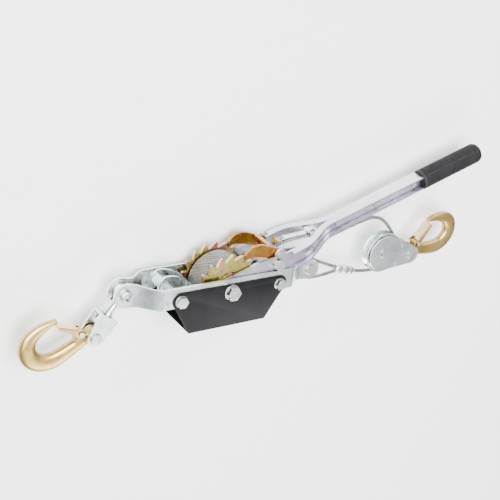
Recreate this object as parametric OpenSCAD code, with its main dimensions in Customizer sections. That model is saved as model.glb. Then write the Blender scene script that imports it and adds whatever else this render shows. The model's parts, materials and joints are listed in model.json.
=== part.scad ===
// Come along winch, 2 t class hand puller with a ratchet drum, a moving block and two safety hooks.
// The tool lies flat on its side. The origin is on the drum axle's line, at the level of the nuts
// that it rests on. +X points from the front hook to the rear hook and +Z is along the drum axle.
// Every part is drawn with the mid width at Z = 0, and lift() then raises it onto its nuts.

/* [Frame] */
// Distance of each guard bolt from the drum axle
guard_bolt_x = 73; // [72:1:74]
// Inner half width of the frame over the drum
frame_in = 27; // [27:0.1:27.4]
// Thickness of the side plates
plate_t = 3; // [2.5:0.1:3]
// Inner half width at the nose
nose_in = 7; // [7:0.1:7.5]
// Inner half width at the rear end
tail_in = 12; // [12:0.1:12.5]
// Sheet thickness of the drum guard
guard_t = 1.5; // [1.2:0.1:1.5]
// Depth of the guard below the axle
guard_depth = 47.5; // [47:0.1:48]

/* [Drum] */
// Tip radius of the ratchet wheels
wheel_r = 46.5; // [45:0.1:46.5]
// Root radius of the ratchet wheels
root_r = 38.2; // [38:0.1:38.4]
// Number of ratchet teeth
teeth = 18; // [18:1:18]
// Thickness of a ratchet wheel
wheel_t = 4.5; // [4:0.1:4.5]
// Half width between the wheels
drum_half = 18; // [17.8:0.1:18]
// Radius of the bare drum
drum_r = 27.5; // [26:0.1:27.5]
// Radius over the wound rope
wound_r = 37.6; // [36:0.1:37.6]
// Drum axle diameter
axle_d = 12; // [11.9:0.05:12]

/* [Handle] */
// Angle of the handle above +X
handle_angle = 18.5; // [18:0.5:19]
// Length from the axle to the end of the grip
handle_len = 445; // [430:1:450]
// Length of the grip
grip_len = 110; // [100:1:112]
// Grip diameter
grip_d = 29; // [28.6:0.1:30]
// Half height of the straight bar
bar_half = 9.5; // [9:0.1:9.6]

/* [Hooks] */
// Hook thickness
hook_t = 13; // [12:0.5:13]
// Diameter of the pin through a hook's eye
hook_pin_d = 10; // [9.9:0.05:10]
// Angle of the eye bolt
eye_angle = 234.5; // [233:0.5:236]
// Angle of the front hook
front_hook_angle = 183.6; // [181:0.2:186]
// Angle of the rear hook
rear_hook_angle = 26.6; // [24:0.2:28]

/* [Block] */
// Angle of the block about its axle
block_angle = -10.5; // [-11:0.1:-10]
// Sheave flange radius
sheave_r = 30.5; // [30:0.1:31]
// Radius of the bottom of the sheave groove
groove_r = 24; // [23.8:0.1:24.1]
// Rope diameter
rope_d = 5; // [4.5:0.1:5]

/* [Hidden] */

round_fn = 64;
run_gap = 0.06;
stand_z = 39;
nose = [-137, 7];
tail = [135, 1.5];
nose_r = 16;
tail_r = 14;
body_top = 17.5;
body_bottom = -10;
guard_out = frame_in + plate_t + guard_t;
bolt_d = 8;
bolt_head_h = 5.5;
bolt_head_r = 7.5;
arm_z = 23.5;
arm_t = 3;
arm_r = 18;
fork_close = 178;
fork_open = 112;
flange_start = 97;
flange_h = 7;
flange_t = 2;
bar_gap = 0.1;
bar_end = handle_len - 15;
pawl_pivot = [80, 14];
boss_at = [143.8, 5.3];
sleeve_from = [101, 15.1];
sleeve_to = [136, 6.6];
rod_from = [87.5, 18.4];
rivets_at = [188, 254, 322];
fork_bolt_at = [73.8, 3.2];
tooth_angle = 67.5;
tooth_undercut = 4;
tooth_crest = 2;
block_axle_at = [273, 2];
hook_pin_at = [326, -7.8];
clevis_top = 32;
clevis_half = 11.3;
clevis_w = 13;
clevis_t = 3;
clevis_pin_x = 62.4;
front_pin_at = nose + clevis_pin_x * [cos(eye_angle), sin(eye_angle)];
block_in = 7.2;
block_t = 2.5;
latch_pivot = [17, 9.5];
zinc = "silver";
gold = "goldenrod";

// Centreline of a hook as x, y and half width, from the neck round to the tip.
hook_line = [[12, -2, 8], [24, -9, 9], [38.4, -16.6, 10.4], [52, -21.3, 11.2], [65.4, -20.3, 11.6],
    [76.9, -12.8, 11.4], [82.1, 0.1, 10.8], [79.1, 13, 9.6], [69.5, 22.3, 7.8], [57, 28.3, 5.4],
    [45, 31.5, 2.8]];

// Route of the free rope, from the drum over the sheave to the ferrule.
rope_route = [[22, 34.6, 0], [45, 33.2, 0], [71, 30.9, 0], [105, 29, 0], [135, 31, 0], [160, 36.5, 0],
    [185, 44, 0], [210, 51.5, 0], [230, 56.5, 0], [245, 58.5, 0], [259, 54.5, 0], [271, 46, 0],
    [283, 34, 0], [293, 20.5, 0], [299.4, 8, 0], [299.6, -4.5, 0], [294, -15.5, 0], [284.5, -23, 0],
    [273, -25.8, 0], [260, -26, 0], [246, -25.2, 0], [234, -23.4, 0], [226, -21.3, 0]];

// Route of the rope's eye, from the ferrule round the anchor pin and back.
eye_route = [[197, -11.6, 0], [184, -7.2, 0], [168, -0.5, 0], [152, 6.5, 0], [143, 10.3, 0],
    [133, 11.8, 0], [126.5, 8, 0], [124.6, 0, 0], [127, -8.5, 0], [133, -15, 0], [142, -18.5, 0],
    [154, -19.8, 0], [170, -19.4, 0], [184, -17.9, 0], [196, -16, 0]];

// Points of an arc about c.
function arc(c, r, a0, a1, n) = [for (i = [0 : n]) let (a = a0 + (a1 - a0) * i / n) c + r * [cos(a), sin(a)]];
// One point of a smooth curve between b and c, with a before and d after.
function blend4(a, b, c, d, t) =
    (2 * b + (c - a) * t + (2 * a - 5 * b + 4 * c - d) * t * t + (3 * b - a - 3 * c + d) * t * t * t) / 2;
// A smooth curve through p with n steps between neighbours.
function smooth(p, n) = [for (i = [0 : len(p) - 2]) for (k = [0 : n - 1])
    blend4(p[max(i - 1, 0)], p[i], p[i + 1], p[min(i + 2, len(p) - 1)], k / n), p[len(p) - 1]];
// The outline of a band along q, whose points hold x, y and half width.
function side(q, i, s) =
    let (a = q[max(i - 1, 0)], b = q[min(i + 1, len(q) - 1)], d = [b[0] - a[0], b[1] - a[1]])
    [q[i][0], q[i][1]] + s * q[i][2] * [-d[1], d[0]] / norm(d);
function band(q) = concat([for (i = [0 : len(q) - 1]) side(q, i, 1)],
    [for (i = [len(q) - 1 : -1 : 0]) side(q, i, -1)]);
// Stations of a soft double bend from a to b.
function bend(a, b) = [for (i = [0 : 8]) let (t = i / 8)
    [a[0] + (b[0] - a[0]) * t, a[1] + (b[1] - a[1]) * t * t * (3 - 2 * t)]];
// The outline of a bent strip of thickness t, whose stations hold the distance and the inner height.
function strip(st, t) = concat(st, [for (i = [len(st) - 1 : -1 : 0]) [st[i][0], st[i][1] + t]]);

// Raises the tool so that its nuts rest on Z = 0.
module lift() {
    translate([0, 0, stand_z]) children();
}
module bar(z0, z1) {
    translate([0, 0, z0]) linear_extrude(z1 - z0) children();
}
module pin_z(at, d, z0, z1) {
    translate([at[0], at[1], z0]) cylinder(d = d, h = z1 - z0, $fn = round_fn);
}
module hex_z(at, r, z0, z1) {
    translate([at[0], at[1], z0]) cylinder(r = r, h = z1 - z0, $fn = 6);
}
module ring_z(at, r_out, r_in, z0, z1) {
    difference() {
        pin_z(at, 2 * r_out, z0, z1);
        pin_z(at, 2 * r_in, z0 - 1, z1 + 1);
    }
}
// Everything inside the XZ outline pts.
module sheet_xz(pts) {
    rotate([90, 0, 0]) linear_extrude(240, center = true) polygon(pts);
}

// ---- frame ----
frame_outline = concat(arc(nose, nose_r, 78, 262, 24), [[-110, body_bottom], [112, body_bottom]],
    arc(tail, tail_r, -62, 62, 20), [[112, body_top], [-112, body_top]]);
frame_stations = concat([[-170, nose_in]], bend([-128, nose_in], [-95, frame_in]),
    bend([92, frame_in], [117, tail_in]), [[170, tail_in]]);

module side_plate() {
    difference() {
        intersection() {
            sheet_xz(strip(frame_stations, plate_t));
            bar(0, 40) polygon(frame_outline);
        }
        pin_z([0, 0], axle_d + 0.06, 0, 40);
        for (s = [-1, 1]) pin_z([s * guard_bolt_x, 0], bolt_d + 0.06, 0, 40);
        pin_z(nose, bolt_d + 0.06, 0, 40);
        pin_z(tail, 10.06, 0, 40);
        pin_z([-90.6, -0.6], 2.6, 0, 40);
    }
}
module upper_side_plate() {
    color(zinc) side_plate();
}
module lower_side_plate() {
    color(zinc) mirror([0, 0, 1]) side_plate();
}
guard_outline = concat(arc([-guard_bolt_x, 0], 11, 80, 205, 12),
    [[-57, -guard_depth - guard_t], [57, -guard_depth - guard_t]], arc([guard_bolt_x, 0], 11, -25, 100, 12));
module drum_guard() {
    color("dimgray") difference() {
        bar(-guard_out, guard_out) polygon(guard_outline);
        translate([-100, -guard_depth, -guard_out + guard_t]) cube([200, 80, 2 * (guard_out - guard_t)]);
        pin_z([0, 0], axle_d + 0.06, -40, 40);
        for (s = [-1, 1]) pin_z([s * guard_bolt_x, 0], bolt_d + 0.06, -40, 40);
    }
}
module frame_spacers() {
    color(zinc) for (s = [-1, 1]) ring_z([s * guard_bolt_x, 0], 6, bolt_d / 2 + 0.03, -frame_in, frame_in);
}
module guard_bolt(s) {
    color(zinc) {
        pin_z([s * guard_bolt_x, 0], bolt_d, -stand_z, guard_out + 1);
        pin_z([s * guard_bolt_x, 0], 2 * bolt_head_r + 1, guard_out, guard_out + 1);
        hex_z([s * guard_bolt_x, 0], bolt_head_r, guard_out + 1, guard_out + 1 + bolt_head_h);
    }
}
module front_guard_bolt() {
    guard_bolt(-1);
}
module rear_guard_bolt() {
    guard_bolt(1);
}
module guard_nuts() {
    color(zinc) for (s = [-1, 1]) difference() {
        hex_z([s * guard_bolt_x, 0], bolt_head_r, -stand_z, -guard_out);
        pin_z([s * guard_bolt_x, 0], bolt_d + 0.04, -stand_z - 1, 0);
    }
}
module drum_axle() {
    color(zinc) {
        pin_z([0, 0], axle_d, -stand_z, guard_out + 1);
        pin_z([0, 0], 21, guard_out, guard_out + 1);
        hex_z([0, 0], 9.8, guard_out + 1, guard_out + 8);
    }
}
module axle_nut() {
    color(zinc) difference() {
        hex_z([0, 0], 9.8, -stand_z, -guard_out);
        pin_z([0, 0], axle_d + 0.04, -stand_z - 1, 0);
    }
}
module nose_bolt() {
    nose_out = nose_in + plate_t;
    color(zinc) difference() {
        union() {
            pin_z(nose, bolt_d, -nose_out - 6, nose_out + 1);
            pin_z(nose, 14.5, nose_out, nose_out + 6.5);
        }
        hex_z(nose, 4.4, nose_out + 1.2, nose_out + 8);
    }
}
module nose_nut() {
    nose_out = nose_in + plate_t;
    color(zinc) difference() {
        hex_z(nose, bolt_head_r, -nose_out - 6, -nose_out);
        pin_z(nose, bolt_d + 0.04, -nose_out - 7, 0);
    }
}
module anchor_pin() {
    tail_out = tail_in + plate_t;
    color(zinc) {
        pin_z(tail, 10, -tail_out - 2.5, tail_out + 2.5);
        for (s = [-1, 1]) pin_z(tail, 14, s * (tail_out + 1.25) - 1.25, s * (tail_out + 1.25) + 1.25);
    }
}
module anchor_spool() {
    color(zinc) ring_z(tail, 7.2, 5.03, -tail_in, tail_in);
}
module holding_pawl_spring() {
    color(zinc) ring_z([-guard_bolt_x, 0], 9, 6.3, -8, 8);
}

// ---- drum ----
tooth_pitch = 360 / teeth;
wheel_outline = [for (k = [0 : teeth - 1]) let (a = tooth_angle - k * tooth_pitch)
    each [wheel_r * [cos(a), sin(a)], root_r * [cos(a - tooth_undercut), sin(a - tooth_undercut)],
        wheel_r * [cos(a - tooth_pitch + tooth_crest), sin(a - tooth_pitch + tooth_crest)]]];
module ratchet_wheel(z0) {
    color("yellowgreen") difference() {
        bar(z0, z0 + wheel_t) polygon(wheel_outline);
        pin_z([0, 0], axle_d + 2 * run_gap, -40, 40);
        for (a = [93 : 120 : 333]) for (s = [-13, 13]) rotate([0, 0, a + s])
            translate([22.5, 0, z0 + wheel_t / 2]) cube([1.8, 5, wheel_t + 2], center = true);
    }
}
module upper_ratchet_wheel() {
    ratchet_wheel(drum_half);
}
module lower_ratchet_wheel() {
    ratchet_wheel(-drum_half - wheel_t);
}
module drum_core() {
    color(zinc) ring_z([0, 0], drum_r, axle_d / 2 + run_gap, -drum_half, drum_half);
}
module rope_winding() {
    color("gray") ring_z([0, 0], wound_r, drum_r + 0.05, -drum_half + 0.1, drum_half - 0.1);
}

// ---- handle, in its own frame: x along the handle, y across it ----
module on_handle() {
    rotate([0, 0, handle_angle]) children();
}
arm_line = [[20, 0, arm_r], [45, 0, arm_r], [60, 0, 16.2], [92, 0, 12], [fork_open, 0, 12],
    [fork_close, 0, bar_half], [bar_end, 0, bar_half]];
arm_stations = concat([[-30, arm_z]], bend([fork_open, arm_z], [fork_close, bar_gap]),
    [[bar_end + 20, bar_gap]]);
module arm_outline() {
    union() {
        circle(r = arm_r, $fn = round_fn);
        translate([0, -arm_r]) square([20.1, 2 * arm_r]);
        polygon(band(arm_line));
        translate(pawl_pivot) circle(r = 8, $fn = 32);
    }
}
// The strip of the bar's edge on side s that carries a flange.
module edge_outline(s) {
    flange_line = [[flange_start, 12], [fork_open, 12], [fork_close, bar_half], [bar_end, bar_half]];
    polygon(concat([for (p = flange_line) [p[0], s * p[1]]],
        [for (i = [3 : -1 : 0]) [flange_line[i][0], s * (flange_line[i][1] - flange_t)]]));
}
module handle_arm() {
    difference() {
        union() {
            intersection() {
                sheet_xz(strip(arm_stations, arm_t));
                bar(0, 60) arm_outline();
            }
            for (s = [-1, 1]) intersection() {
                sheet_xz(strip(arm_stations, arm_t + flange_h));
                bar(0, 60) edge_outline(s);
            }
        }
        pin_z([0, 0], axle_d + 2 * run_gap, -1, 60);
        pin_z(pawl_pivot, 8.06, -1, 60);
        pin_z(fork_bolt_at, bolt_d + 0.06, -1, 60);
        for (x = rivets_at) pin_z([x, 0], 6.06, -1, 60);
    }
}
module upper_handle_arm() {
    color("lightsteelblue") on_handle() handle_arm();
}
module lower_handle_arm() {
    color("lightsteelblue") on_handle() mirror([0, 0, 1]) handle_arm();
}
module handle_rivets() {
    web = bar_gap + arm_t;
    color(zinc) on_handle() for (x = rivets_at) {
        pin_z([x, 0], 6, -web - 1.6, web + 1.6);
        for (s = [-1, 1]) pin_z([x, 0], 9, s * (web + 0.8) - 0.8, s * (web + 0.8) + 0.8);
    }
}
module grip() {
    pocket_z = bar_gap + arm_t + flange_h + 0.05;
    color([0.12, 0.12, 0.13]) on_handle() difference() {
        translate([handle_len - grip_len, 0, 0]) rotate([0, 90, 0])
            cylinder(d = grip_d, h = grip_len, $fn = round_fn);
        translate([handle_len - grip_len - 1, -bar_half - 0.05, -pocket_z])
            cube([bar_end - handle_len + grip_len + 1.1, 2 * bar_half + 0.1, 2 * pocket_z]);
    }
}
module fork_bolts() {
    arm_out = arm_z + arm_t;
    color(zinc) on_handle() for (m = [0, 1]) mirror([0, 0, m]) {
        pin_z(fork_bolt_at, bolt_d, arm_z - 0.5, arm_out + 4);
        pin_z(fork_bolt_at, 14, arm_out, arm_out + 2.5);
        hex_z(fork_bolt_at, bolt_head_r, arm_out + 2.5, arm_out + 8.5);
    }
}
module pawl_pin() {
    arm_out = arm_z + arm_t;
    color(zinc) on_handle() {
        pin_z(pawl_pivot, 8, -arm_out - 2, arm_out + 2);
        for (s = [-1, 1]) pin_z(pawl_pivot, 10, s * (arm_out + 1) - 1, s * (arm_out + 1) + 1);
    }
}
module spring_boss() {
    color(zinc) on_handle() {
        pin_z(boss_at, 8, -9.6, 9.6);
        pin_z(boss_at, 13, -5, 5);
    }
}
// Children run along x from a towards b.
module along(a, b) {
    translate([a[0], a[1], 0]) rotate([0, 0, atan2(b[1] - a[1], b[0] - a[0])]) rotate([0, 90, 0]) children();
}
module spring_sleeve() {
    color(zinc) on_handle() along(sleeve_from, sleeve_to) difference() {
        cylinder(r = 4.6, h = norm(sleeve_to - sleeve_from), $fn = 48);
        translate([0, 0, -1]) cylinder(r = 3.9, h = 60, $fn = 48);
    }
}
module spring_rod() {
    color(gold) on_handle() along(rod_from, sleeve_to) {
        cylinder(r = 1.8, h = norm(sleeve_to - rod_from) - 1, $fn = 32);
        cylinder(r = 5.2, h = 2.4, $fn = 48);
    }
}
module pawl_spring() {
    color(zinc) on_handle() along(rod_from, sleeve_to) translate([0, 0, 2.6]) difference() {
        cylinder(r = 3.6, h = 34, $fn = 48);
        translate([0, 0, -1]) cylinder(r = 2.2, h = 40, $fn = 48);
    }
}

// ---- pawls ----
drive_line = [[19.4, 36.3, 1.6], [24.6, 42.6, 4.5], [32, 46.2, 7.2], [42, 46.3, 8.2], [54, 43, 7.8],
    [63, 40.2, 7.4], [71.4, 38.6, 7.2]];
drive_pin_xy = [pawl_pivot[0] * cos(handle_angle) - pawl_pivot[1] * sin(handle_angle),
    pawl_pivot[0] * sin(handle_angle) + pawl_pivot[1] * cos(handle_angle)];
module drive_pawl() {
    color(gold) difference() {
        union() {
            for (m = [0, 1]) mirror([0, 0, m]) bar(drum_half + 0.2, drum_half + 4.2) union() {
                polygon(band(smooth(drive_line, 4)));
                translate(drive_pin_xy) circle(r = 7.4, $fn = 48);
            }
            bar(-drum_half - 1, drum_half + 1) polygon([[57, 46.4], [66, 44.3], [66.7, 47.2], [57.7, 49.4]]);
        }
        pin_z(drive_pin_xy, 8 + 2 * run_gap, -40, 40);
    }
}
hold_line = [[-49.6, 6.2, 1.6], [-57, 10.4, 4], [-65, 14, 6.2], [-75, 15.2, 9.5], [-84, 13.6, 11.6],
    [-90, 12, 8]];
module holding_pawl() {
    color(zinc) difference() {
        union() {
            for (m = [0, 1]) mirror([0, 0, m]) bar(8.6, 11.6) union() {
                polygon(band(smooth(hold_line, 4)));
                translate([-guard_bolt_x, 0]) circle(r = 10, $fn = 48);
                polygon([[-82.8, 0], [-63.2, 0], [-66, 13], [-86, 13]]);
            }
            bar(-drum_half - 4, drum_half + 4)
                polygon([[-53.4, 6.4], [-50, 4.2], [-47.4, 6.6], [-51.2, 11.8]]);
            bar(-9, 9) polygon([[-93.5, 12], [-91, 10.5], [-86, 21.6], [-88.4, 23]]);
        }
        pin_z([-guard_bolt_x, 0], 12 + 2 * run_gap, -40, 40);
    }
}

// ---- front hook group: the eye bolt's frame has x along its shank ----
module on_nose() {
    translate([nose[0], nose[1], 0]) rotate([0, 0, eye_angle]) children();
}
module rod_x(x0, x1, d) {
    translate([x0, 0, 0]) rotate([0, 90, 0]) cylinder(d = d, h = x1 - x0, $fn = round_fn);
}
module eye_bolt() {
    color(zinc) on_nose() difference() {
        union() {
            pin_z([0, 0], 20, -6.3, 6.3);
            rod_x(6, 45, 10);
            rod_x(28.5, clevis_top - 0.3, 14);
        }
        pin_z([0, 0], bolt_d + 2 * run_gap, -10, 10);
    }
}
module swivel_nut() {
    color(zinc) on_nose() difference() {
        translate([clevis_top + clevis_t + 0.8, 0, 0]) rotate([0, 90, 0]) cylinder(r = 7.8, h = 7, $fn = 6);
        rod_x(30, 50, 10.04);
    }
}
module hook_clevis() {
    leg_line = [[clevis_top, -clevis_w], [clevis_top + 14, -clevis_w], [clevis_pin_x, -11],
        [clevis_pin_x, 11], [clevis_top + 14, clevis_w], [clevis_top, clevis_w]];
    color(zinc) on_nose() difference() {
        union() {
            for (m = [0, 1]) mirror([0, 0, m]) bar(clevis_half - clevis_t, clevis_half) union() {
                polygon(leg_line);
                translate([clevis_pin_x, 0]) circle(r = 11, $fn = round_fn);
            }
            translate([clevis_top, -clevis_w, -clevis_half])
                cube([clevis_t + 0.5, 2 * clevis_w, 2 * clevis_half]);
        }
        rod_x(0, 60, 10 + 2 * run_gap);
        pin_z([clevis_pin_x, 0], hook_pin_d + 0.06, -20, 20);
    }
}
module clevis_pin() {
    color(zinc) pin_z(front_pin_at, hook_pin_d, -clevis_half - 2, clevis_half + 2.5);
    color(zinc) pin_z(front_pin_at, 13.5, clevis_half, clevis_half + 2.5);
    color(zinc) pin_z(front_pin_at, 12, -clevis_half - 2, -clevis_half);
}

// ---- hooks and latches, in a hook's own frame: the eye at the origin, the tip on the +y side ----
module on_front_hook() {
    translate([front_pin_at[0], front_pin_at[1], 0]) rotate([0, 0, front_hook_angle])
        mirror([0, 1, 0]) children();
}
module on_rear_hook() {
    translate([hook_pin_at[0], hook_pin_at[1], 0]) rotate([0, 0, rear_hook_angle]) children();
}
module hook() {
    color(gold) difference() {
        union() {
            bar(-hook_t / 2, hook_t / 2) polygon(band(smooth(hook_line, 5)));
            bar(-hook_t / 2, hook_t / 2) polygon([[7, 3], [12.5, 13], [20, 13], [23, 9], [26, -6]]);
            pin_z([0, 0], 24, -hook_t / 2, hook_t / 2);
        }
        pin_z([0, 0], hook_pin_d + 2 * run_gap, -20, 20);
        pin_z(latch_pivot, 4.06, -20, 20);
    }
}
module latch() {
    ear_z = hook_t / 2 + 0.3;
    color(gold) difference() {
        union() {
            for (m = [0, 1]) mirror([0, 0, m]) bar(ear_z, ear_z + 1.2)
                polygon([[13.4, 8], [15, 5.6], [19, 5.2], [33, 15.5], [46, 23.2], [46.2, 26.2], [21, 15.6],
                    [14.6, 13]]);
            bar(-ear_z - 0.1, ear_z + 0.1) polygon([[21, 14.7], [46.2, 25.2], [45.6, 26.6], [20.4, 16.1]]);
        }
        pin_z(latch_pivot, 4 + 2 * run_gap, -20, 20);
    }
}
module latch_pin() {
    pin_half = hook_t / 2 + 4.1;
    color(zinc) {
        pin_z(latch_pivot, 4, -pin_half, pin_half);
        for (s = [-1, 1]) pin_z(latch_pivot, 6.4, s * (pin_half - 0.4) - 0.4, s * (pin_half - 0.4) + 0.4);
    }
}
// The spring's two coils sit outside the latch's ears.
module latch_spring() {
    coil_z = hook_t / 2 + 1.6;
    color(zinc) for (m = [0, 1]) mirror([0, 0, m]) ring_z(latch_pivot, 3.3, 2.1, coil_z, coil_z + 1.6);
}
module front_hook() {
    on_front_hook() hook();
}
module front_latch() {
    on_front_hook() latch();
}
module front_latch_pin() {
    on_front_hook() latch_pin();
}
module front_latch_spring() {
    on_front_hook() latch_spring();
}
module rear_hook() {
    on_rear_hook() hook();
}
module rear_latch() {
    on_rear_hook() latch();
}
module rear_latch_pin() {
    on_rear_hook() latch_pin();
}
module rear_latch_spring() {
    on_rear_hook() latch_spring();
}

// ---- block, in its own frame: the sheave axle at the origin, x towards the hook pin ----
module on_block() {
    translate([block_axle_at[0], block_axle_at[1], 0]) rotate([0, 0, block_angle]) children();
}
hook_pin_x = norm(hook_pin_at - block_axle_at);
block_r = 27;
block_end_r = 13;
taper = asin((block_r - block_end_r) / hook_pin_x);
module block_plate() {
    difference() {
        union() {
            bar(block_in, block_in + block_t) polygon(concat(
                arc([0, 0], block_r, 90 - taper, 270 + taper, 32),
                arc([hook_pin_x, 0], block_end_r, taper - 90, 90 - taper, 20)));
            for (s = [-1, 1]) pin_z([28.5, s * 15.3], 5, block_in + block_t - 0.5, block_in + block_t + 0.8);
        }
        pin_z([0, 0], 12.06, 0, 20);
        pin_z([hook_pin_x, 0], hook_pin_d + 0.06, 0, 20);
    }
}
module upper_block_plate() {
    color(zinc) on_block() block_plate();
}
module lower_block_plate() {
    color(zinc) on_block() mirror([0, 0, 1]) block_plate();
}
module block_rivet(at, d, head_d) {
    block_out = block_in + block_t;
    pin_z(at, d, -block_out - 2.2, block_out + 2.2);
    for (s = [-1, 1]) pin_z(at, head_d, s * (block_out + 1.1) - 1.1, s * (block_out + 1.1) + 1.1);
}
module block_axle() {
    color(zinc) on_block() block_rivet([0, 0], 12, 15);
}
module block_hook_pin() {
    color(zinc) on_block() block_rivet([hook_pin_x, 0], hook_pin_d, 13.5);
}
module sheave() {
    sheave_half = 6.4;
    color(zinc) on_block() rotate_extrude($fn = round_fn) polygon(concat(
        [[6 + run_gap, -sheave_half], [sheave_r, -sheave_half], [sheave_r, -sheave_half + 1.4]],
        arc([groove_r + 3.2, 0], 3.2, 250, 110, 8),
        [[sheave_r, sheave_half - 1.4], [sheave_r, sheave_half], [6 + run_gap, sheave_half]]));
}

// ---- rope ----
// A tube of n sides along the points p, which lie in one plane.
module tube(p, d, n) {
    rings = len(p);
    verts = [for (i = [0 : rings - 1]) let (a = p[max(i - 1, 0)], b = p[min(i + 1, rings - 1)],
        t = (b - a) / norm(b - a), u = [-t[1], t[0], 0])
        for (k = [0 : n - 1]) p[i] + d / 2 * (cos(360 * k / n) * u + sin(360 * k / n) * [0, 0, 1])];
    walls = [for (i = [0 : rings - 2]) for (k = [0 : n - 1])
        [i * n + k, (i + 1) * n + k, (i + 1) * n + (k + 1) % n, i * n + (k + 1) % n]];
    ends = [[for (k = [0 : n - 1]) k], [for (k = [n - 1 : -1 : 0]) (rings - 1) * n + k]];
    polyhedron(verts, concat(walls, ends), convexity = 6);
}
module rope_run() {
    color("gray") tube(smooth(rope_route, 2), rope_d, 10);
}
module rope_eye() {
    color("gray") tube(smooth(eye_route, 2), rope_d, 10);
}
ferrule_from = [190, -12.4];
ferrule_to = [227, -21.6];
module ferrule() {
    color("lightgray") along(ferrule_from, ferrule_to) intersection() {
        cylinder(r = 6.6, h = norm(ferrule_to - ferrule_from), $fn = 48);
        translate([0, 0, 20]) cube([11.5, 13.2, 60], center = true);
    }
}

lift() upper_side_plate();
lift() lower_side_plate();
lift() drum_guard();
lift() frame_spacers();
lift() front_guard_bolt();
lift() rear_guard_bolt();
lift() guard_nuts();
lift() drum_axle();
lift() axle_nut();
lift() nose_bolt();
lift() nose_nut();
lift() anchor_pin();
lift() anchor_spool();
lift() holding_pawl_spring();
lift() upper_ratchet_wheel();
lift() lower_ratchet_wheel();
lift() drum_core();
lift() rope_winding();
lift() upper_handle_arm();
lift() lower_handle_arm();
lift() handle_rivets();
lift() grip();
lift() fork_bolts();
lift() pawl_pin();
lift() spring_boss();
lift() spring_sleeve();
lift() spring_rod();
lift() pawl_spring();
lift() drive_pawl();
lift() holding_pawl();
lift() eye_bolt();
lift() swivel_nut();
lift() hook_clevis();
lift() clevis_pin();
lift() front_hook();
lift() front_latch();
lift() front_latch_pin();
lift() front_latch_spring();
lift() upper_block_plate();
lift() lower_block_plate();
lift() block_axle();
lift() sheave();
lift() block_hook_pin();
lift() rear_hook();
lift() rear_latch();
lift() rear_latch_pin();
lift() rear_latch_spring();
lift() rope_run();
lift() rope_eye();
lift() ferrule();
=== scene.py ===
"""Looks of the come along winch: a hand cable puller that lies on its side on a pale floor."""

import json
import math

import bmesh
import bpy
from mathutils import Matrix, Vector
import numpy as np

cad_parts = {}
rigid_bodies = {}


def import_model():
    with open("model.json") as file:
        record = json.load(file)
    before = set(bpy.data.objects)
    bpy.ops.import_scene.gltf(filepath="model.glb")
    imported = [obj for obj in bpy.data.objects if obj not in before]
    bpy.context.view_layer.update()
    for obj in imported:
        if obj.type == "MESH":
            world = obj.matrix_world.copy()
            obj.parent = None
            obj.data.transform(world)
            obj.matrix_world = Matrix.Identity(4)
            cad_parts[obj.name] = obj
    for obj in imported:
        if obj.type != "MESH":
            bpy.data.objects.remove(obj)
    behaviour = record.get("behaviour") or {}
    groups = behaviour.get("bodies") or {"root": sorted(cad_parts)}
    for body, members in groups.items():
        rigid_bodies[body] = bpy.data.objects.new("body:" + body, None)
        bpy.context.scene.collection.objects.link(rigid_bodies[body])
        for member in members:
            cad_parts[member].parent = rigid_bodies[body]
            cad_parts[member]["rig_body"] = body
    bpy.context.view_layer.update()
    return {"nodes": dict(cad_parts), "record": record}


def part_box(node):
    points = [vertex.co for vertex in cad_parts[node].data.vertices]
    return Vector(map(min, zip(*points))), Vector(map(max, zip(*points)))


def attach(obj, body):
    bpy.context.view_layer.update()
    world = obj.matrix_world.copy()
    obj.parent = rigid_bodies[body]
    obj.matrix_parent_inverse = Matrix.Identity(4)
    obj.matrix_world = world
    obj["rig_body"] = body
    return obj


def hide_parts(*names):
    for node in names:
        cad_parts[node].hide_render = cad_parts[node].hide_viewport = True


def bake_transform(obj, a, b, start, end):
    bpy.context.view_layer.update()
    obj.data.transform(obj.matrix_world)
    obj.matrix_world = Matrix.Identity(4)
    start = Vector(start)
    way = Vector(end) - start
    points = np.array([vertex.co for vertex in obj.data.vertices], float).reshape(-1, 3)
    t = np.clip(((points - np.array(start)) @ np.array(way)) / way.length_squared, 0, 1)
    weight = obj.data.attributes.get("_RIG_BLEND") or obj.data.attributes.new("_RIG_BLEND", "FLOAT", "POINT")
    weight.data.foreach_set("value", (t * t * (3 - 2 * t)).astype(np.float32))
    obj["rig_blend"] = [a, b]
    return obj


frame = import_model()

MM = 0.001
UP = Vector((0, 0, 1))
MID_Z = 39 * MM
ROPE_D = 5 * MM
STRANDS = 6
# Points round a laid rope's outline, four to a strand
ROPE_SIDES = 4 * STRANDS
# Distance along the rope in which a strand goes once round it
LAY_LENGTH = 32 * MM


def mm(*values):
    """A point given in millimetres, in metres."""
    return Vector(values) * MM


# ---------------------------------------------------------------- camera, floor and light

def build_camera():
    """The camera looks down on the tool from the front hook's side, with a long lens."""
    right = Vector((0.830, 0.134, 0.541)).normalized()
    back = Vector((-0.541, 0.425, 0.725))
    back = (back - right * back.dot(right)).normalized()
    up = back.cross(right)
    rotation = Matrix((right, up, back)).transposed().to_4x4()
    camera = bpy.data.objects.new("camera", bpy.data.cameras.new("camera"))
    camera.data.sensor_width = 36
    camera.data.lens = 69.1
    camera.data.clip_start = 0.05
    camera.data.clip_end = 20
    camera.matrix_world = Matrix.Translation(mm(-625.3, 561.6, 932.5)) @ rotation
    bpy.context.scene.collection.objects.link(camera)
    bpy.context.scene.camera = camera


def area_light(name, place, size, power, colour=(1, 1, 1)):
    data = bpy.data.lights.new(name, "AREA")
    data.shape = "RECTANGLE"
    data.size, data.size_y = size
    data.energy = power
    data.color = colour
    lamp = bpy.data.objects.new(name, data)
    lamp.location = place
    aim = Vector((0.03, 0.03, 0.03)) - Vector(place)
    lamp.rotation_euler = aim.to_track_quat("-Z", "Y").to_euler()
    bpy.context.scene.collection.objects.link(lamp)


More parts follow.
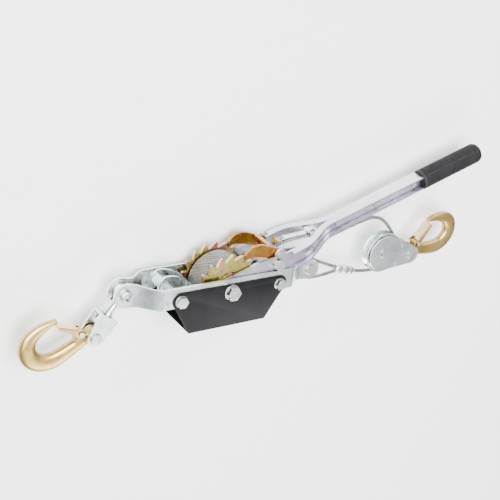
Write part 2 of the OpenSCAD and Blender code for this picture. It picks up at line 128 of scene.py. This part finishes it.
def build_stage():
    bpy.ops.mesh.primitive_plane_add(size=9, location=(0, 0, -0.0006))
    floor = bpy.context.object
    floor.name = "floor"
    material = bpy.data.materials.new("floor")
    material.use_nodes = True
    shader = material.node_tree.nodes["Principled BSDF"]
    shader.inputs["Base Color"].default_value = (0.97, 0.97, 0.97, 1)
    shader.inputs["Roughness"].default_value = 0.8
    shader.inputs["Specular IOR Level"].default_value = 0.2
    floor.data.materials.append(material)
    world = bpy.data.worlds.new("studio")
    bpy.context.scene.world = world
    world.use_nodes = True
    tree = world.node_tree
    background = tree.nodes["Background"]
    background.inputs["Strength"].default_value = 1.0
    # The studio is bright above and grey below the horizon, with soft dark gaps for the metal to reflect.
    place = tree.nodes.new("ShaderNodeTexCoord")
    split = tree.nodes.new("ShaderNodeSeparateXYZ")
    bands = tree.nodes.new("ShaderNodeValToRGB")
    wave = tree.nodes.new("ShaderNodeTexNoise")
    wave.inputs["Scale"].default_value = 1.6
    wave.inputs["Detail"].default_value = 1
    add = tree.nodes.new("ShaderNodeMath")
    add.operation = "MULTIPLY_ADD"
    add.inputs[1].default_value = 0.55
    tree.links.new(place.outputs["Generated"], split.inputs[0])
    tree.links.new(place.outputs["Generated"], wave.inputs["Vector"])
    tree.links.new(wave.outputs["Fac"], add.inputs[0])
    tree.links.new(split.outputs["Z"], add.inputs[2])
    tree.links.new(add.outputs[0], bands.inputs["Fac"])
    tree.links.new(bands.outputs["Color"], background.inputs["Color"])
    ramp = bands.color_ramp
    ramp.elements[0].position, ramp.elements[0].color = 0.18, (0.5, 0.52, 0.55, 1)
    ramp.elements[1].position, ramp.elements[1].color = 0.95, (1, 1, 1, 1)
    for position, level in ((0.36, 0.10), (0.50, 1.0), (0.60, 1.15), (0.74, 0.16), (0.84, 1.0)):
        step = ramp.elements.new(position)
        step.color = (level, level, level * 1.01, 1)
    area_light("key", (-0.5, 0.6, 2.4), (2.2, 1.6), 225)
    area_light("fill", (0.6, -1.9, 1.5), (1.4, 0.9), 56)
    area_light("rim", (1.2, 1.6, 0.9), (1.2, 0.4), 24, (0.97, 0.99, 1))


# ---------------------------------------------------------------- materials

class Shade:
    """A node material on one Principled shader, whose helpers return sockets."""

    def __init__(self, name, metallic, roughness):
        self.material = bpy.data.materials.new(name)
        self.material.use_nodes = True
        self.tree = self.material.node_tree
        self.shader = self.tree.nodes["Principled BSDF"]
        self.shader.inputs["Metallic"].default_value = metallic
        self.shader.inputs["Roughness"].default_value = roughness
        self.place = self.node("ShaderNodeTexCoord").outputs["Object"]

    def node(self, kind, **settings):
        made = self.tree.nodes.new(kind)
        for key, value in settings.items():
            setattr(made, key, value)
        return made

    def link(self, source, target):
        self.tree.links.new(source, target)

    def noise(self, scale, detail=4, roughness=0.55, stretch=(1, 1, 1)):
        """Fractal noise of about 1/scale metres; stretch makes brushed lines."""
        mapping = self.node("ShaderNodeMapping")
        mapping.inputs["Scale"].default_value = stretch
        self.link(self.place, mapping.inputs["Vector"])
        made = self.node("ShaderNodeTexNoise")
        made.inputs["Scale"].default_value = scale
        made.inputs["Detail"].default_value = detail
        made.inputs["Roughness"].default_value = roughness
        self.link(mapping.outputs[0], made.inputs["Vector"])
        return made.outputs["Fac"]

    def ramp(self, fac, *stops):
        """Colours over a factor: each stop is (position, (r, g, b))."""
        made = self.node("ShaderNodeValToRGB")
        self.link(fac, made.inputs["Fac"])
        ends = made.color_ramp.elements
        for i, (position, colour) in enumerate(stops):
            element = ends[i] if i < 2 else ends.new(position)
            element.position = position
            element.color = (*colour, 1)
        return made.outputs["Color"]

    def level(self, fac, low, high):
        """A factor spread over low to high."""
        made = self.node("ShaderNodeMapRange")
        made.inputs["From Min"].default_value = 0.3
        made.inputs["From Max"].default_value = 0.7
        made.inputs["To Min"].default_value = low
        made.inputs["To Max"].default_value = high
        self.link(fac, made.inputs["Value"])
        return made.outputs[0]

    def mix(self, fac, a, b, blend="MIX"):
        made = self.node("ShaderNodeMix", data_type="RGBA", blend_type=blend)
        sockets = (made.inputs["Factor"], made.inputs["A"], made.inputs["B"])
        for socket, value in zip(sockets, (fac, a, b)):
            if isinstance(value, bpy.types.NodeSocket):
                self.link(value, socket)
            else:
                socket.default_value = value if isinstance(value, float) else (*value, 1)
        return made.outputs["Result"]

    def worn_edge(self, low=0.52, high=0.6):
        """1 on outer edges, where handling rubs the finish off."""
        point = self.node("ShaderNodeNewGeometry").outputs["Pointiness"]
        made = self.node("ShaderNodeMapRange")
        made.inputs["From Min"].default_value = low
        made.inputs["From Max"].default_value = high
        self.link(point, made.inputs["Value"])
        return made.outputs[0]

    def corner_shade(self, base, dark, reach=3.5 * MM):
        """Painted shade: darkens corners and gaps by ambient occlusion."""
        corner = self.node("ShaderNodeAmbientOcclusion", samples=8)
        corner.inputs["Distance"].default_value = reach
        open_air = self.ramp(corner.outputs["AO"], (0.35, dark), (0.85, (1, 1, 1)))
        return self.mix(1.0, base, open_air, "MULTIPLY")

    def bump(self, height, strength, distance):
        made = self.node("ShaderNodeBump")
        made.inputs["Strength"].default_value = strength
        made.inputs["Distance"].default_value = distance
        self.link(height, made.inputs["Height"])
        self.link(made.outputs[0], self.shader.inputs["Normal"])

    def colour(self, socket):
        self.link(socket, self.shader.inputs["Base Color"])

    def rough(self, fac, low, high):
        self.link(self.level(fac, low, high), self.shader.inputs["Roughness"])


def plated(name, tones, roughness, grain=(1, 1, 1), patch=26, bump=0.12):
    """Bright plating: soft patches of colour, fine grain, rubbed bright edges and painted shade in corners.
    """
    m = Shade(name, 1.0, 0.3)
    patches = m.noise(patch, 3)
    count = len(tones) - 1
    stops = [(0.36 + 0.28 * i / count, tone) for i, tone in enumerate(tones)]
    base = m.ramp(patches, *stops)
    lines = m.noise(520, 3, 0.6, grain)
    base = m.mix(m.level(lines, 0.0, 0.16), base, tuple(0.72 * c for c in tones[0]))
    base = m.mix(m.worn_edge(), base, tuple(min(1.0, 1.12 * c + 0.06) for c in tones[-1]))
    # Painted shade in corners and gaps, multiplied into the plating's colour.
    m.colour(m.corner_shade(base, (0.16, 0.17, 0.19)))
    m.rough(m.noise(90, 4, 0.6), *roughness)
    m.bump(lines, bump, 0.0002)
    return m.material


def black_coat():
    m = Shade("black_coat", 0.0, 0.5)
    m.shader.inputs["Specular IOR Level"].default_value = 0.09
    grain = m.noise(900, 3)
    cloud = m.noise(30, 3)
    base = m.ramp(cloud, (0.35, (0.003, 0.003, 0.0035)), (0.65, (0.006, 0.006, 0.007)))
    m.colour(m.mix(m.worn_edge(0.54, 0.66), base, (0.09, 0.09, 0.095)))
    m.rough(cloud, 0.42, 0.54)
    m.bump(grain, 0.18, 0.0002)
    return m.material


def grip_rubber():
    m = Shade("grip_rubber", 0.0, 0.6)
    m.shader.inputs["Specular IOR Level"].default_value = 0.2
    dust = m.noise(70, 5)
    base = m.ramp(dust, (0.35, (0.004, 0.004, 0.0045)), (0.7, (0.010, 0.010, 0.011)))
    m.colour(m.mix(m.worn_edge(0.52, 0.62), base, (0.05, 0.05, 0.052)))
    m.rough(m.noise(240, 3), 0.46, 0.66)
    m.bump(m.noise(1500, 3), 0.25, 0.0002)
    return m.material


def wire_rope():
    """Galvanised wire: each strand's own wires are fine lines that run across the rope's lay, with painted
    shade in the grooves between strands.
    """
    m = Shade("wire_rope", 1.0, 0.38)
    wires = m.node("ShaderNodeTexWave", wave_type="BANDS", bands_direction="DIAGONAL")
    wires.inputs["Scale"].default_value = 420
    wires.inputs["Distortion"].default_value = 1.5
    m.link(m.place, wires.inputs["Vector"])
    cloud = m.noise(60, 4)
    base = m.ramp(cloud, (0.35, (0.36, 0.35, 0.32)), (0.65, (0.62, 0.61, 0.56)))
    base = m.mix(m.level(wires.outputs["Fac"], 0.0, 0.3), base, (0.2, 0.19, 0.18))
    # Painted shade: the grooves between strands are darkened nearly to black.
    groove = m.node("ShaderNodeAttribute", attribute_name="groove")
    groove_shade = m.ramp(groove.outputs["Fac"], (0.2, (1, 1, 1)), (0.8, (0.03, 0.03, 0.03)))
    m.colour(m.mix(1.0, base, groove_shade, "MULTIPLY"))
    m.rough(cloud, 0.3, 0.5)
    m.bump(wires.outputs["Fac"], 0.35, 0.0002)
    return m.material


def build_materials():
    blue_white = [(0.56, 0.64, 0.68), (0.70, 0.77, 0.80), (0.82, 0.87, 0.89)]
    lilac = [(0.52, 0.47, 0.60), (0.63, 0.62, 0.70), (0.72, 0.73, 0.79)]
    silver = [(0.50, 0.51, 0.50), (0.68, 0.69, 0.68), (0.82, 0.82, 0.80)]
    yellow_green = [(0.58, 0.24, 0.22), (0.42, 0.40, 0.06), (0.50, 0.49, 0.09), (0.58, 0.56, 0.14),
                    (0.62, 0.32, 0.26)]
    orange_gold = [(0.36, 0.09, 0.02), (0.38, 0.17, 0.012), (0.46, 0.30, 0.04), (0.34, 0.14, 0.03)]
    tan_gold = [(0.42, 0.31, 0.09), (0.52, 0.34, 0.12), (0.60, 0.44, 0.18)]
    copper = [(0.72, 0.30, 0.18), (0.78, 0.42, 0.24), (0.72, 0.52, 0.24)]
    return {
        "zinc": plated("zinc_plate", blue_white, (0.2, 0.34), (1, 12, 12)),
        "lilac_zinc": plated("lilac_zinc_plate", lilac, (0.22, 0.36), (1, 10, 10)),
        "fastener": plated("zinc_fastener", silver, (0.16, 0.32), (1, 1, 1), 60),
        "yellow_zinc": plated("yellow_zinc_plate", yellow_green, (0.2, 0.36), (1, 6, 6), 32),
        "gold_zinc": plated("gold_zinc_plate", orange_gold, (0.2, 0.36), (3, 3, 1), 40),
        "hook_gold": plated("forged_gold", tan_gold, (0.26, 0.42), (1, 1, 1), 22, 0.3),
        "latch_copper": plated("copper_tint_plate", copper, (0.18, 0.3), (1, 4, 4), 40),
        "aluminium": plated("pressed_aluminium", silver, (0.28, 0.46), (1, 1, 1), 80, 0.3),
        "black_paint": black_coat(),
        "grip_rubber": grip_rubber(),
        "rope": wire_rope(),
    }


build_camera()


# ---------------------------------------------------------------- mesh helpers

def new_object(name, verts, faces):
    mesh = bpy.data.meshes.new(name)
    mesh.from_pydata([tuple(v) for v in verts], [], faces)
    mesh.update()
    made = bpy.data.objects.new(name, mesh)
    bpy.context.scene.collection.objects.link(made)
    return made


def face_outward(made):
    """Turns every face of a closed mesh outward."""
    mesh = bmesh.new()
    mesh.from_mesh(made.data)
    bmesh.ops.recalc_face_normals(mesh, faces=mesh.faces)
    mesh.to_mesh(made.data)
    mesh.free()


def finish_piece(made, body, slot, material, *replaced, smooth_angle=35):
    """Material, smooth shading and body of one finished mesh; the slot argument is not used."""
    face_outward(made)
    made.data.materials.clear()
    made.data.materials.append(material)
    made.data.shade_smooth()
    made.data.set_sharp_from_angle(angle=math.radians(smooth_angle))
    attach(made, body)
    if replaced:
        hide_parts(*replaced)
    return made


def apply_modifiers(made):
    """Bakes the modifiers into the mesh."""
    bpy.context.view_layer.update()
    final = made.evaluated_get(bpy.context.evaluated_depsgraph_get())
    baked = bpy.data.meshes.new_from_object(final)
    made.modifiers.clear()
    made.data = baked


def eased(node, width):
    """A copy of a CAD node's mesh, with its flat faces whole again and its edges rounded by width."""
    made = frame["nodes"][node].copy()
    made.data = frame["nodes"][node].data.copy()
    made.parent = None
    for key in list(made.keys()):
        del made[key]
    made.name = "fine_" + node
    bpy.context.scene.collection.objects.link(made)
    mesh = bmesh.new()
    mesh.from_mesh(made.data)
    bmesh.ops.remove_doubles(mesh, verts=mesh.verts, dist=2e-6)
    bmesh.ops.dissolve_limit(mesh, angle_limit=math.radians(1.5), verts=mesh.verts, edges=mesh.edges)
    mesh.to_mesh(made.data)
    mesh.free()
    for layer in list(made.data.attributes):
        if layer.name.startswith("custom_normal") or layer.name == "sharp_edge":
            made.data.attributes.remove(layer)
    bevel = made.modifiers.new("edge", "BEVEL")
    bevel.width = width
    bevel.segments = 2
    bevel.limit_method = "ANGLE"
    bevel.angle_limit = math.radians(32)
    bevel.use_clamp_overlap = True
    apply_modifiers(made)
    return made


def flatten_normals(made):
    """Keeps large flat faces flat to the light, so that only the eased edges turn it."""
    weigh = made.modifiers.new("flat", "WEIGHTED_NORMAL")
    weigh.mode = "FACE_AREA"
    weigh.weight = 100
    weigh.keep_sharp = True
    apply_modifiers(made)


def smooth_line(points, steps):
    """The CAD's own smooth curve through points, with this many steps between neighbours."""
    line = []
    last = len(points) - 1
    for i in range(last):
        a, b = points[max(i - 1, 0)], points[i]
        c, d = points[i + 1], points[min(i + 2, last)]
        for k in range(steps):
            t = k / steps
            line.append((2 * b + (c - a) * t + (2 * a - 5 * b + 4 * c - d) * t ** 2
                         + (3 * b - a - 3 * c + d) * t ** 3) / 2)
    line.append(points[-1].copy())
    return line


def resample(line, spacing):
    """The same line with even steps of about spacing."""
    lengths = [0.0]
    for a, b in zip(line, line[1:]):
        lengths.append(lengths[-1] + (b - a).length)
    count = max(2, round(lengths[-1] / spacing))
    out, i = [], 0
    for k in range(count + 1):
        want = lengths[-1] * k / count
        while i < len(line) - 2 and lengths[i + 1] < want:
            i += 1
        share = (want - lengths[i]) / max(lengths[i + 1] - lengths[i], 1e-12)
        out.append(line[i].lerp(line[i + 1], share))
    return out


def ring_faces(rings, sides):
    """The walls between rings of points, one ring after another, and a flat cap at each end."""
    faces = []
    for i in range(rings - 1):
        for k in range(sides):
            a, b = i * sides + k, i * sides + (k + 1) % sides
            faces.append((a, b, b + sides, a + sides))
    faces.append(tuple(reversed(range(sides))))
    faces.append(tuple((rings - 1) * sides + k for k in range(sides)))
    return faces


def direction(line, i):
    """The way a line runs at its point i."""
    return (line[min(i + 1, len(line) - 1)] - line[max(i - 1, 0)]).normalized()


def tube_mesh(line, section):
    """Sweeps section(i, distance), a list of (across, upward) offsets, down a level line."""
    verts, distance = [], 0.0
    for i, point in enumerate(line):
        if i:
            distance += (point - line[i - 1]).length
        ahead = direction(line, i)
        across = UP.cross(ahead).normalized()
        lift = ahead.cross(across)
        ring = section(i, distance)
        verts += [point + across * x + lift * y for x, y in ring]
    return verts, ring_faces(len(line), len(ring))


def strand_section(diameter):
    """The outline of a laid rope: round strands side by side, turned by the lay as it goes."""
    strand_r = diameter / 2 * 0.333
    centre_r = diameter / 2 - strand_r

    def section(_, distance):
        turn = 2 * math.pi * distance / LAY_LENGTH
        ring = []
        for k in range(ROPE_SIDES):
            a = 2 * math.pi * k / ROPE_SIDES
            off = (a + math.pi / STRANDS) % (2 * math.pi / STRANDS) - math.pi / STRANDS
            reach = centre_r * math.cos(off)
            reach += math.sqrt(max(strand_r ** 2 - (centre_r * math.sin(off)) ** 2, 0))
            ring.append((reach * math.cos(a + turn), reach * math.sin(a + turn)))
        return ring

    return section


def mark_grooves(made):
    """Writes on each point how deep it lies between two strands, from 0 on a crown to 1."""
    depth = []
    for i in range(len(made.data.vertices)):
        a = 2 * math.pi * (i % ROPE_SIDES) / ROPE_SIDES
        off = (a + math.pi / STRANDS) % (2 * math.pi / STRANDS)
        depth.append(abs(off - math.pi / STRANDS) * STRANDS / math.pi)
    made.data.attributes.new("groove", "FLOAT", "POINT").data.foreach_set("value", depth)


def rope_object(name, line):
    made = new_object(name, *tube_mesh(resample(line, 1.5 * MM), strand_section(ROPE_D)))
    mark_grooves(made)
    return made


def soft_box(half_wide, half_thick, power_wide, power_thick, sides):
    """An outline between an ellipse, with powers of 1, and a rectangle, with powers near 0."""
    ring = []
    for k in range(sides):
        a = 2 * math.pi * k / sides
        ring.append((half_wide * math.copysign(abs(math.cos(a)) ** power_wide, math.cos(a)),
                     half_thick * math.copysign(abs(math.sin(a)) ** power_thick, math.sin(a))))
    return ring


def lathe(name, profile):
    """Turns a closed (radius, height) outline about the upright axis through the origin."""
    verts, faces = [], []
    sides = 48
    n = len(profile)
    for k in range(sides):
        a = 2 * math.pi * k / sides
        verts += [Vector((r * math.cos(a), r * math.sin(a), z)) for r, z in profile]
    for k in range(sides):
        for i in range(n):
            a, b = k * n + i, k * n + (i + 1) % n
            c = ((k + 1) % sides) * n
            faces.append((a, b, c + (i + 1) % n, c + i))
    return new_object(name, verts, faces)


def prism(name, outline, half_thick):
    """A flat plate with this outline, as thick above the origin's level as below it."""
    n = len(outline)
    verts = [p + Vector((0, 0, s * half_thick)) for s in (-1, 1) for p in outline]
    walls = [(i, (i + 1) % n, n + (i + 1) % n, n + i) for i in range(n)]
    return new_object(name, verts, [tuple(range(n)), tuple(range(n, 2 * n))] + walls)


def coil_line(centre, radius, z0, z1, turns, start, per_turn):
    """A helix about an upright axis."""
    count = int(turns * per_turn)
    return [centre + Vector((radius * math.cos(start + 2 * math.pi * turns * i / count),
                             radius * math.sin(start + 2 * math.pi * turns * i / count),
                             z0 + (z1 - z0) * i / count)) for i in range(count + 1)]


def wire_mesh(line, diameter, sides):
    """A round wire along a line in space, kept free of twist by carrying its frame along."""
    verts = []
    side = UP
    for i, point in enumerate(line):
        ahead = direction(line, i)
        side = (side - ahead * side.dot(ahead)).normalized()
        other = ahead.cross(side)
        for k in range(sides):
            a = 2 * math.pi * k / sides
            verts.append(point + (side * math.cos(a) + other * math.sin(a)) * diameter / 2)
    return verts, ring_faces(len(line), sides)


def join(name, parts):
    """One object from several, with no material yet."""
    verts, faces = [], []
    for made in parts:
        start = len(verts)
        verts += [made.matrix_world @ v.co for v in made.data.vertices]
        faces += [[start + i for i in p.vertices] for p in made.data.polygons]
        bpy.data.objects.remove(made)
    return new_object(name, verts, faces)


def forged(made, voxel, passes):
    """Melts overlapping solids into one skin with the soft blends of a forging."""
    remesh = made.modifiers.new("skin", "REMESH")
    remesh.mode = "VOXEL"
    remesh.voxel_size = voxel
    soften = made.modifiers.new("soften", "SMOOTH")
    soften.factor = 0.5
    soften.iterations = passes
    apply_modifiers(made)
    return made


# ---------------------------------------------------------------- rope

# The rope's routes repeat the design's own points, in millimetres at mid width.
RUN_ROUTE = ((22, 34.6), (45, 33.2), (71, 30.9), (105, 29), (135, 31), (160, 36.5), (185, 44), (210, 51.5),
             (230, 56.5), (245, 58.5), (259, 54.5), (271, 46), (283, 34), (293, 20.5), (299.4, 8),
             (299.6, -4.5), (294, -15.5), (284.5, -23), (273, -25.8), (260, -26), (246, -25.2), (234, -23.4),
             (226, -21.3))
EYE_ROUTE = ((197, -11.6), (184, -7.2), (168, -0.5), (152, 6.5), (143, 10.3), (133, 11.8), (126.5, 8),
             (124.6, 0), (127, -8.5), (133, -15), (142, -18.5), (154, -19.8), (170, -19.4), (184, -17.9),
             (196, -16))


def route(points):
    """The smooth line of a route, at the tool's mid width."""
    return smooth_line([mm(x, y, 39) for x, y in points], 6)


def build_rope(paint):
    run_line = route(RUN_ROUTE)
    run = rope_object("rope_run_laid", run_line)
    run.data.materials.append(paint["rope"])
    run.data.shade_smooth()
    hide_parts("rope_run")
    # As the block comes in, the rope follows the frame near the drum and the block from the sheave on.
    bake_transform(run, "frame", "block", start=mm(120, 0, 39), end=mm(245, 0, 39))
    eye_line = route(EYE_ROUTE)
    eye = rope_object("rope_eye_laid", eye_line)
    finish_piece(eye, "frame", "rope", paint["rope"], "rope_eye", smooth_angle=180)


def build_winding(paint):
    """Two layers of seven turns, the outer one laid back over the inner one."""
    low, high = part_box("rope_winding")
    drum_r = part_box("drum_core")[1].x
    z_end = high.z - low.z - ROPE_D
    centre = Vector((0, 0, low.z + ROPE_D / 2))
    turns, per_turn, start = 7, 72, math.radians(57)
    parts = []
    for layer, (bottom, top) in enumerate(((0, z_end), (z_end, 0))):
        radius = drum_r + ROPE_D * (0.52 + layer)
        line = coil_line(centre, radius, bottom, top, turns, start + layer * math.pi, per_turn)
        parts.append(new_object("turns", *rope_on_coil(line, ROPE_D * 0.99)))
    made = join("rope_winding_laid", parts)
    mark_grooves(made)
    finish_piece(made, "drum", "rope", paint["rope"], "rope_winding", smooth_angle=180)


def rope_on_coil(line, diameter):
    """A laid rope along a helix about the drum's axis, its frame turned outward from the axis."""
    section = strand_section(diameter)
    verts, distance = [], 0.0
    for i, point in enumerate(line):
        if i:
            distance += (point - line[i - 1]).length
        ahead = direction(line, i)
        out = Vector((point.x, point.y, 0)).normalized()
        lift = ahead.cross(out).normalized()
        verts += [point + out * x + lift * y for x, y in section(i, distance)]
    return verts, ring_faces(len(line), ROPE_SIDES)


def swage(t, middle):
    """How deep a press has squeezed the sleeve at t, for a squeeze about middle."""
    return 0.16 * math.exp(-((t - middle) / 0.07) ** 2)


def build_ferrule(paint):
    """A pressed sleeve: two swages squeeze it on the ropes, with round shoulders and a tapered end."""
    start, end = mm(190, -12.4, 39), mm(227, -21.6, 39)
    half_wide, half_thick = 6.6 * MM, 5.7 * MM
    taper_from, taper = 0.72, 0.28
    steps = 44

    def section(i, _):
        t = i / steps
        shoulder = min(1.0, math.sqrt(max(0.02, 1 - (2 * t - 1) ** 10)))
        press = 1 - swage(t, 0.34) - swage(t, 0.68)
        lean = 1 - taper * max(0, t - taper_from) / (1 - taper_from)
        size = shoulder * press * lean
        return soft_box(half_wide * size, half_thick * size, 0.8, 0.8, 28)

    line = [start.lerp(end, i / steps) for i in range(steps + 1)]
    made = new_object("ferrule_pressed", *tube_mesh(line, section))
    finish_piece(made, "frame", "aluminium", paint["aluminium"], "ferrule", smooth_angle=50)


# ---------------------------------------------------------------- hooks

# A hook's centreline as x, y and half width, from the neck round to the tip, in millimetres.
HOOK_LINE = ((12, -2, 8), (24, -9, 9), (38.4, -16.6, 10.4), (52, -21.3, 11.2), (65.4, -20.3, 11.6),
             (76.9, -12.8, 11.4), (82.1, 0.1, 10.8), (79.1, 13, 9.6), (69.5, 22.3, 7.8), (57, 28.3, 5.4),
             (45, 31.5, 2.8))
LUG_OUTLINE = ((8, 4), (13.2, 12.6), (19.6, 12.6), (22.4, 8.6), (25, -6))
HOOK_HALF_T = 6.5
LATCH_PIVOT = (17, 9.5)
FRONT_HOOK_ANGLE = 183.6
REAR_HOOK_ANGLE = 26.6


def hook_frame(pin_node, degrees, mirrored):
    """From a hook's own frame, eye at the origin and tip on +y, to the row frame."""
    low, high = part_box(pin_node)
    centre = (low + high) / 2
    flip = Matrix.Scale(-1, 4, (0, 1, 0)) if mirrored else Matrix.Identity(4)
    turn = Matrix.Rotation(math.radians(degrees), 4, "Z")
    return Matrix.Translation((centre.x, centre.y, MID_Z)) @ turn @ flip


def quarter_round(r, z, soft, start):
    """A rounded corner of a (radius, height) profile, turning a quarter from start degrees."""
    angles = [math.radians(start + step) for step in range(0, 91, 18)]
    return [(r + soft * math.sin(a), z + soft * math.cos(a)) for a in angles]


def eye_profile():
    """A hook's eye as a (radius, height) outline: a bore wider than its pin, and a soft outer edge."""
    r_out, r_in, half_t = 12 * MM, 5.5 * MM, HOOK_HALF_T * MM
    soft, chamfer = 2.2 * MM, 0.4 * MM
    bore = [(r_in, -half_t + chamfer), (r_in, half_t - chamfer), (r_in + chamfer, half_t)]
    upper = quarter_round(r_out - soft, half_t - soft, soft, 0)
    lower = quarter_round(r_out - soft, -half_t + soft, soft, 90)
    return bore + upper + lower + [(r_in + chamfer, -half_t)]


def build_hook(name, node, body, place, paint):
    """A forged hook: a rounded section swept round the bowl, an eye and a lug for the latch."""
    line = smooth_line([mm(x, y, 0) for x, y, _ in HOOK_LINE], 8)
    widths = [v.x for v in smooth_line([mm(w, 0, 0) for _, _, w in HOOK_LINE], 8)]
    thin_from, thinning = 0.62, 0.42

    def section(i, _):
        along = i / (len(line) - 1)
        half_t = HOOK_HALF_T * MM * (1 - thinning * max(0, along - thin_from) / (1 - thin_from))
        return soft_box(widths[i], half_t, 0.86, 0.74, 32)

    bowl = new_object("bowl", *tube_mesh(line, section))
    eye = lathe("eye", eye_profile())
    lug = prism("lug", [mm(*p, 0) for p in LUG_OUTLINE], 5.9 * MM)
    for part in (bowl, eye, lug):
        face_outward(part)
    made = forged(join(name, [bowl, eye, lug]), 0.8 * MM, 6)
    made.data.transform(place)
    finish_piece(made, body, "hook_gold", paint["hook_gold"], node, smooth_angle=60)


def build_latch_spring(name, node, body, place, paint):
    """Two coils round the latch pin, outside the latch's ears."""
    wire, coil_r, rise = 0.75 * MM, 2.65 * MM, 0.9 * MM
    ear, gap = 1.6, 0.35
    parts = []
    for s in (-1, 1):
        z = s * (HOOK_HALF_T + ear + gap) * MM
        line = coil_line(mm(*LATCH_PIVOT, 0), coil_r, z, z + s * rise, 2, 0, 24)
        parts.append(new_object("coil", *wire_mesh(line, wire, 8)))
    made = join(name, parts)
    made.data.transform(place)
    finish_piece(made, body, "fastener", paint["fastener"], node, smooth_angle=180)


# ---------------------------------------------------------------- handle, drum and springs

HANDLE_ANGLE = math.radians(18.5)
GRIP_START = 335 * MM
GRIP_LENGTH = 110 * MM
ROD_FROM, SLEEVE_TO = (87.5, 18.4), (136, 6.6)


def handle_place():
    """From the handle's own frame, x along it from the drum's axis, to the row frame."""
    return Matrix.Translation((0, 0, MID_Z)) @ Matrix.Rotation(HANDLE_ANGLE, 4, "Z")


def grip_profile():
    """The grip's (distance, radius) outline: a plain collar, ribs and a domed end."""
    half_d, bore_r, dome_r = 14.5 * MM, 9.8 * MM, 8 * MM
    rib_pitch, groove, crown = 2.2 * MM, 0.75 * MM, 0.1 * MM
    profile = [(0.0, bore_r), (0.0, half_d - 1.2 * MM), (0.6 * MM, half_d - 0.3 * MM), (1.6 * MM, half_d)]
    profile.append((4.6 * MM, half_d))
    x = 5.0 * MM
    while x < GRIP_LENGTH - 11 * MM:
        profile += [(x + 0.25 * MM, half_d - groove), (x + 0.75 * MM, half_d - groove),
                    (x + 1.05 * MM, half_d - crown), (x + 1.85 * MM, half_d - crown)]
        x += rib_pitch
    profile.append((GRIP_LENGTH - 9.5 * MM, half_d))
    for degrees in range(0, 91, 10):
        a = math.radians(degrees)
        profile.append((GRIP_LENGTH - dome_r + dome_r * math.sin(a), half_d - dome_r + dome_r * math.cos(a)))
    profile.append((GRIP_LENGTH, 0.3 * MM))
    return profile


def build_grip(paint):
    """A moulded rubber sleeve round the end of the handle."""
    profile = grip_profile()
    sides = 56
    circle = [(math.cos(2 * math.pi * k / sides), math.sin(2 * math.pi * k / sides)) for k in range(sides)]
    verts = [Vector((GRIP_START + x, r * c, r * s)) for x, r in profile for c, s in circle]
    made = new_object("grip_ribbed", verts, ring_faces(len(profile), sides))
    made.data.transform(handle_place())
    finish_piece(made, "handle", "grip_rubber", paint["grip_rubber"], "grip", smooth_angle=30)


def build_holding_spring(paint):
    """The torsion spring round the front guard bolt."""
    low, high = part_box("holding_pawl_spring")
    wire, coil_r, turns = 1.9 * MM, 7.65 * MM, 7
    half = (high.z - low.z) / 2 - wire / 2
    line = coil_line((low + high) / 2, coil_r, -half, half, turns, 0, 30)
    made = new_object("holding_spring_coil", *wire_mesh(line, wire, 10))
    finish_piece(made, "frame", "fastener", paint["fastener"], "holding_pawl_spring", smooth_angle=180)


def build_pawl_spring(paint):
    """The compression spring on the drive pawl's rod."""
    start, end = mm(*ROD_FROM, 0), mm(*SLEEVE_TO, 0)
    turn = UP.rotation_difference((end - start).normalized()).to_matrix().to_4x4()
    wire, coil_r, turns = 1.2 * MM, 2.9 * MM, 11
    line = coil_line(Vector((0, 0, 0)), coil_r, 3.3 * MM, 35.8 * MM, turns, 0, 24)
    made = new_object("pawl_spring_coil", *wire_mesh(line, wire, 8))
    made.data.transform(handle_place() @ Matrix.Translation(start) @ turn)
    finish_piece(made, "handle", "fastener", paint["fastener"], "pawl_spring", smooth_angle=180)


# ---------------------------------------------------------------- the CAD's own shapes, with eased edges

# Each node's edge rounding in millimetres.
BEVELS = {
    "upper_side_plate": 0.55, "lower_side_plate": 0.55, "drum_guard": 0.45, "frame_spacers": 0.3,
    "front_guard_bolt": 0.4, "rear_guard_bolt": 0.4, "guard_nuts": 0.4, "drum_axle": 0.45, "axle_nut": 0.45,
    "nose_bolt": 0.5, "nose_nut": 0.4, "anchor_pin": 0.5, "anchor_spool": 0.3,
    "upper_ratchet_wheel": 0.4, "lower_ratchet_wheel": 0.4, "drum_core": 0.3,
    "upper_handle_arm": 0.6, "lower_handle_arm": 0.6, "handle_rivets": 0.6, "fork_bolts": 0.4,
    "pawl_pin": 0.4, "spring_boss": 0.5, "spring_sleeve": 0.2, "spring_rod": 0.3, "drive_pawl": 0.5,
    "holding_pawl": 0.45, "eye_bolt": 0.5, "swivel_nut": 0.4, "hook_clevis": 0.5, "clevis_pin": 0.5,
    "front_latch": 0.3, "front_latch_pin": 0.3, "rear_latch": 0.3, "rear_latch_pin": 0.3,
    "upper_block_plate": 0.5, "lower_block_plate": 0.5, "block_axle": 0.5, "sheave": 0.4,
    "block_hook_pin": 0.5,
}
COPPER_PIECES = ("front_latch", "rear_latch")


def build_eased(paint):
    slots = {part["node"]: part["material_slot"] for part in frame["record"]["subparts"]}
    for node, width in BEVELS.items():
        slot = slots[node]
        look = paint["latch_copper"] if node in COPPER_PIECES else paint[slot]
        body = frame["nodes"][node]["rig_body"]
        made = finish_piece(eased(node, width * MM), body, slot, look, node, smooth_angle=38)
        flatten_normals(made)


def main():
    paint = build_materials()
    build_rope(paint)
    build_winding(paint)
    build_ferrule(paint)
    build_stage()
    front = hook_frame("clevis_pin", FRONT_HOOK_ANGLE, True)
    rear = hook_frame("block_hook_pin", REAR_HOOK_ANGLE, False)
    build_hook("front_hook_forged", "front_hook", "front_hook", front, paint)
    build_hook("rear_hook_forged", "rear_hook", "rear_hook", rear, paint)
    build_latch_spring("front_latch_coils", "front_latch_spring", "front_hook", front, paint)
    build_latch_spring("rear_latch_coils", "rear_latch_spring", "rear_hook", rear, paint)
    build_grip(paint)
    build_holding_spring(paint)
    build_pawl_spring(paint)
    build_eased(paint)


main()
